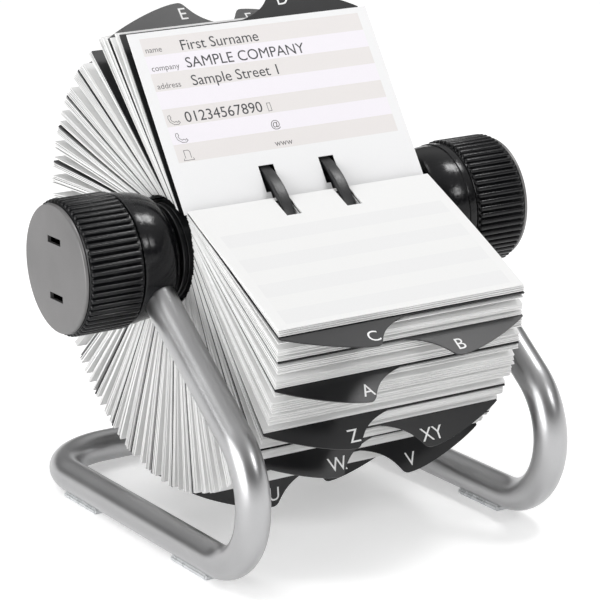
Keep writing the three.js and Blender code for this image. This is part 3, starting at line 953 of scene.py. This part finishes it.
# Words, x and height of the line, height of capitals, alignment and ink: 1 is dark and 2 is pale.
CARD_WORDS = [
    ("First Surname", -32, 63.3, 4.1, "LEFT", 1),
    ("SAMPLE COMPANY", -32, 56.2, 4.1, "LEFT", 1),
    ("Sample Street 1", -32, 49.0, 4.1, "LEFT", 1),
    ("01234567890", -39.5, 35.1, 4.1, "LEFT", 1),
    ("name", -46.7, 63.8, 2.2, "LEFT", 2),
    ("company", -46.5, 56.4, 2.2, "LEFT", 2),
    ("address", -46.5, 49.2, 2.2, "LEFT", 2),
    ("@", -3.5, 28.2, 2.8, "CENTER", 2),
    ("www", -2.5, 20.9, 2.4, "CENTER", 2),
]
CARD_SIGNS = [
    (handset, -44.2, 36.6), (handset, -43.4, 29.4), (page, -43, 22.4), (tray, -43, 22.4),
    (mobile, -3.6, 36.6),
]


def add_reading_card():
    """The card that stands ready to read, with its bands, labels and a made-up entry."""
    direction = reading_direction()
    body = placed(PLAN, READING_THICKNESS, READING_INNER, direction)
    parts = [part(body, PLATE_FACES, 0, np.tile(PLAN, (2, 1)))]
    for words, x, v, height, align, paint in CARD_WORDS:
        points, faces = glyphs(words, height, align)
        parts.append(on_card(points, x, v, READING_INNER, direction, READING_THICKNESS / 2, paint, faces))
    for shape, x, v in CARD_SIGNS:
        points, faces = ribbon(shape(), closed=shape in (handset, mobile))
        parts.append(on_card(points, x, v, READING_INNER, direction, READING_THICKNESS / 2, 2, faces))
    build("filled_card", parts, [FILLED_PAPER, DARK_INK, PALE_INK], "reading_card", ["reading_card"])


# ---- tube frame and feet ----

ARM_DOWN = np.array([0, -ARM_SLOPE, -1]) / hypot(1, ARM_SLOPE)
ARM_TURN = pi - atan2(1, ARM_SLOPE)
BEND_Y = ARM_OFFSET + ARM_SLOPE * TUBE_FLOOR + TUBE_BEND / tan((pi - ARM_TURN) / 2)


def arc(centre, start, towards, angle, steps):
    """Points on a circle that leaves centre + start along towards."""
    turns = np.linspace(0, angle, steps + 1)[:, None]
    return centre + np.cos(turns) * start + np.sin(turns) * towards


def arm_point(x, distance):
    """A place on an arm's middle line, at a distance down it from the axle's height."""
    return np.array([x, ARM_OFFSET, 0]) + ARM_DOWN * distance


def half_route(side):
    """From the top of one arm, round the front bend and the rear corner, to the middle of the rear bar."""
    x = side * TUBE_SIDE
    arm_normal = np.array([0, -1, ARM_SLOPE]) / hypot(1, ARM_SLOPE)
    bend = arc(np.array([x, BEND_Y, TUBE_FLOOR + TUBE_BEND]), TUBE_BEND * arm_normal,
               TUBE_BEND * ARM_DOWN, ARM_TURN, 56)
    corner_centre = np.array([x - side * TUBE_BEND, TUBE_REAR - TUBE_BEND, TUBE_FLOOR])
    corner = arc(corner_centre, np.array([side * TUBE_BEND, 0, 0]), np.array([0, TUBE_BEND, 0]), pi / 2, 36)
    return np.vstack([arm_point(x, ARM_TOP), bend, corner])


def add_tube():
    route = np.vstack([half_route(-1), half_route(1)[::-1]])
    build("bent_tube", [pipe(route, TUBE_RADIUS, TUBE_RADIUS - TUBE_WALL)], [TUBE_FINISH], "stand",
          ["tube_frame"])


def add_feet():
    """Soft pads with rounded edges, hollowed to the tube that they carry."""
    for node in ("left_front_pad", "right_front_pad", "left_rear_pad", "right_rear_pad"):
        low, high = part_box(node)
        low, high = (low - AXLE) / MM, (high - AXLE) / MM
        mesh = mesh_from(node, [block(low, high)], [VINYL.material], 35)
        work = bmesh.new()
        work.from_mesh(mesh)
        bmesh.ops.bevel(work, geom=work.edges, offset=PAD_EDGE * MM, segments=3, affect="EDGES")
        work.to_mesh(mesh)
        work.free()
        x = (low.x + high.x) / 2
        bed = rod((x, low.y - 2, TUBE_FLOOR), (x, high.y + 2, TUBE_FLOOR), TUBE_RADIUS + PAD_CLEARANCE)
        mesh = combined(mesh, bed, "DIFFERENCE")
        shade(mesh, 35)
        foot = bpy.data.objects.new(node.replace("_pad", "_foot"), mesh)
        stand_in(foot, "stand", [node])


# ---- housings, knobs, drum and rails ----

def dome(inward, steps=20):
    """The housing's side, from its neck by the wheel to its full width."""
    points = []
    for angle in np.linspace(0, pi / 2, steps + 1):
        x = HOUSING_LIP + (HOUSING_DOME_END - HOUSING_LIP) * (1 - cos(angle))
        points.append((x, DOME_NECK + (DOME_RADIUS - DOME_NECK) * sin(angle) - inward, 0))
    return points


def housing_mesh():
    """The right-hand housing: a domed shell with a hub for the axle and a socket for the tube."""
    collar = span("right_bearing_housing", 2)[1]
    wall = 2
    hub = 8
    hub_end = 69.6
    bore = 5.8
    lip = DOME_NECK - 0.6
    outside = [
        (HOUSING_INSIDE, lip, 0.4), (HOUSING_LIP, lip, 0.1), *dome(0),
        (HOUSING_DOME_END + 0.25, DOME_RADIUS, 0.1), (HOUSING_DOME_END + 0.25, collar, 0.3),
        (HOUSING_OUTSIDE, collar, 0.5),
    ]
    cavity = [point for point in dome(wall) if point[0] > HOUSING_LIP + wall][::-1]
    inside = [
        (HOUSING_OUTSIDE, collar - wall, 0.3), (HOUSING_DOME_END, collar - wall, 0), *cavity,
        (HOUSING_LIP + wall, DOME_NECK - wall, 0), (HOUSING_LIP + wall, hub, 0.5), (hub_end, hub, 0.3),
        (hub_end, bore, 0), (HOUSING_INSIDE, bore, 0),
    ]
    shell = mesh_from("housing", [turned(rounded([*outside, *inside]))], [GLOSS.material], 30)
    envelope = turned(rounded([*outside, (HOUSING_OUTSIDE, bore, 0), (HOUSING_INSIDE, bore, 0)]))
    start, end = arm_point(TUBE_SIDE, SOCKET_START), arm_point(TUBE_SIDE, SOCKET_REACH)
    outward = np.array([0, 1, -ARM_SLOPE]) / hypot(1, ARM_SLOPE)
    screw = arm_point(TUBE_SIDE, SCREW_ALONG)
    boss = rod(screw + outward * SOCKET_BORE, screw + outward * SOCKET_REACH, SCREW_BOSS, 32)
    socket = mesh_from("socket", [rod(start, end, SOCKET_RADIUS)], [GLOSS.material], 30)
    socket = combined(combined(socket, boss, "UNION"), envelope, "INTERSECT")
    mesh = combined(shell, as_part(socket), "UNION")
    mesh = combined(mesh, rod(arm_point(TUBE_SIDE, ARM_TOP - 0.3), end, SOCKET_BORE), "DIFFERENCE")
    mesh = combined(mesh, rod(screw, screw + outward * SOCKET_REACH, SCREW_HOLE, 24), "DIFFERENCE")
    shade(mesh, 30)
    return mesh


def as_part(mesh):
    """A mesh in metres, back as a part in millimetres from the axle."""
    points = np.zeros(len(mesh.vertices) * 3)
    mesh.vertices.foreach_get("co", points)
    points = (points.reshape(-1, 3) - np.array(AXLE)) / MM
    return part(points, [tuple(face.vertices) for face in mesh.polygons])


def span(node, axis):
    """The lowest and highest place of a CAD node along an axis, in millimetres from the axle."""
    low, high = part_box(node)
    return (low[axis] - AXLE[axis]) / MM, (high[axis] - AXLE[axis]) / MM


def add_housings():
    mesh = housing_mesh()
    for name, each in (("right", mesh), ("left", mirror_mesh(mesh))):
        piece = bpy.data.objects.new(f"{name}_housing", each)
        stand_in(piece, "stand", [f"{name}_bearing_housing"])


def grip_part():
    """A cup with rounded ribs round its side. Each rib is a bar with round ends."""
    pitch = 2 * pi * GRIP_TIP / GRIP_COUNT
    half_width = 0.4 * pitch
    first, last = GRIP_START + 0.5, GRIP_END - 0.5
    ends = half_width * np.array([0, 0.04, 0.14, 0.3, 0.55, 0.8, 1.0])
    rows = np.concatenate([[GRIP_START + 0.25], first + ends, [(first + last) / 2], last - ends[::-1],
                           [GRIP_END - 0.25]])
    places = half_width * np.array([-0.98, -0.85, -0.6, -0.3, 0, 0.3, 0.6, 0.85, 0.98]) / pitch
    turns = np.append(-0.5, places)
    angle = (np.arange(GRIP_COUNT)[:, None] + turns).ravel() * 2 * pi / GRIP_COUNT
    across = np.tile(turns * pitch, GRIP_COUNT)
    profile = [(x, GRIP_ROOT, True) for x in rows]
    wall, hub, bore, web, hub_end = 22, 7, 3.3, 74.6, 87.6
    profile += [
        (GRIP_END, GRIP_ROOT - 0.3, False), (GRIP_END, wall, False), (web, wall, False), (web, hub, False),
        (hub_end, hub, False), (hub_end, bore, False), (GRIP_START, bore, False),
        (GRIP_START, GRIP_ROOT - 0.3, False),
    ]
    rings = []
    for x, radius, ribbed in profile:
        beyond = max(first + half_width - x, x - last + half_width, 0)
        off = np.hypot(across, beyond) / half_width
        rise = (GRIP_TIP - GRIP_ROOT) * np.clip(1 - off ** 2.6, 0, None) ** 0.5 if ribbed else 0 * across
        rings.append(np.column_stack([np.full(len(angle), x), (radius + rise) * np.sin(angle),
                                      (radius + rise) * np.cos(angle)]))
    return part(np.concatenate(rings), ring_faces(len(rings), len(angle)))


def cap_mesh():
    """The knob's end disc with a soft edge, a spigot behind and two slots through it."""
    profile = rounded([
        (CAP_INSIDE, 0, 0), (CAP_INSIDE, SPIGOT_BORE, 0), (SPIGOT_END, SPIGOT_BORE, 0.2),
        (SPIGOT_END, SPIGOT_RADIUS, 0.3), (CAP_INSIDE, SPIGOT_RADIUS, 0),
        (CAP_INSIDE, CAP_RADIUS, 0.25), (CAP_FACE, CAP_RADIUS, 0.9), (CAP_FACE, 0, 0),
    ], 6)
    mesh = mesh_from("cap", [turned(profile)], [CAP_FINISH.material], 30)
    for side in (-1, 1):
        low = (CAP_INSIDE - 1, -CAP_SLOT_LONG / 2, side * CAP_SLOT_OFFSET - CAP_SLOT_HIGH / 2)
        high = (CAP_FACE + 1, CAP_SLOT_LONG / 2, side * CAP_SLOT_OFFSET + CAP_SLOT_HIGH / 2)
        mesh = combined(mesh, block(low, high), "DIFFERENCE")
    shade(mesh, 30)
    return mesh


def add_knobs():
    grip = grip_part()
    build("right_grip", [grip], [GLOSS], "wheel", ["right_knob_grip"])
    build("left_grip", [mirrored(grip)], [GLOSS], "wheel", ["left_knob_grip"])
    cap = cap_mesh()
    for name, mesh in (("right", cap), ("left", mirror_mesh(cap))):
        stand_in(bpy.data.objects.new(f"{name}_cap", mesh), "wheel", [f"{name}_knob_cap"])


def add_drum():
    """The drum's tube and end discs, and the two T-section hoops that the cards hang on."""
    outer, bore, half = 18, 15.6, 51
    core = rounded([(-half, bore, 0.2), (-half, outer, 0.3), (half, outer, 0.3), (half, bore, 0.2)])
    build("drum_tube", [turned(core)], [SATIN], "wheel", ["drum_core"])
    inside, outside = span("right_drum_end", 0)
    hole, hub, disc = 3.3, 6, 51.3
    skirt = bore - 0.4
    skirt_inside = skirt - 1.6
    end = turned(rounded([
        (inside, hole, 0), (inside, hub, 0.3), (disc, hub, 0), (disc, skirt_inside, 0),
        (inside, skirt_inside, 0.2), (inside, skirt, 0.2), (disc, skirt, 0), (disc, outer, 0.3),
        (outside, outer, 0.6), (outside, hole, 0),
    ]))
    build("right_disc", [end], [SATIN], "wheel", ["right_drum_end"])
    build("left_disc", [mirrored(end)], [SATIN], "wheel", ["left_drum_end"])
    web, flange, top, under, root = 0.95, 2.35, span("right_card_rail", 2)[1], 27.6, 18.3
    hoop = rounded([
        (-web, root, 0), (-web, under, 0.3), (-flange, under, 0.3), (-flange, top, 0.5), (flange, top, 0.5),
        (flange, under, 0.3), (web, under, 0.3), (web, root, 0),
    ])
    for name, side in (("left", -1), ("right", 1)):
        rail = turned(hoop + (side * WINDOW_OFFSET, 0), 192)
        build(f"{name}_hoop", [rail], [SATIN], "wheel", [f"{name}_card_rail"])


def finish_hidden_nodes():
    """The CAD's own axle, bushes, washers and screws keep their shapes and take better materials."""
    for name, node in frame["nodes"].items():
        finish = None
        if name.endswith(("_screw", "axle")):
            finish = STEEL
        if name.endswith(("_bush", "_washer")):
            finish = NYLON
        if finish:
            for place in node.material_slots:
                place.material = finish.material


add_camera()
add_surroundings()
add_floor()
add_key_light()
add_area_light("front", (0.45, -0.95, 0.66), size=0.25, power=2.2)
add_area_light("overhead", (0.5, -0.12, 0.9), size=0.24, power=2.9)
add_area_light("left", (-1.3, -0.3, 0.15), size=1.1, power=16)
add_tube()
add_feet()
add_housings()
add_knobs()
add_drum()
add_sections()
add_reading_card()
finish_hidden_nodes()

bpy.context.scene.view_settings.view_transform = "Standard"
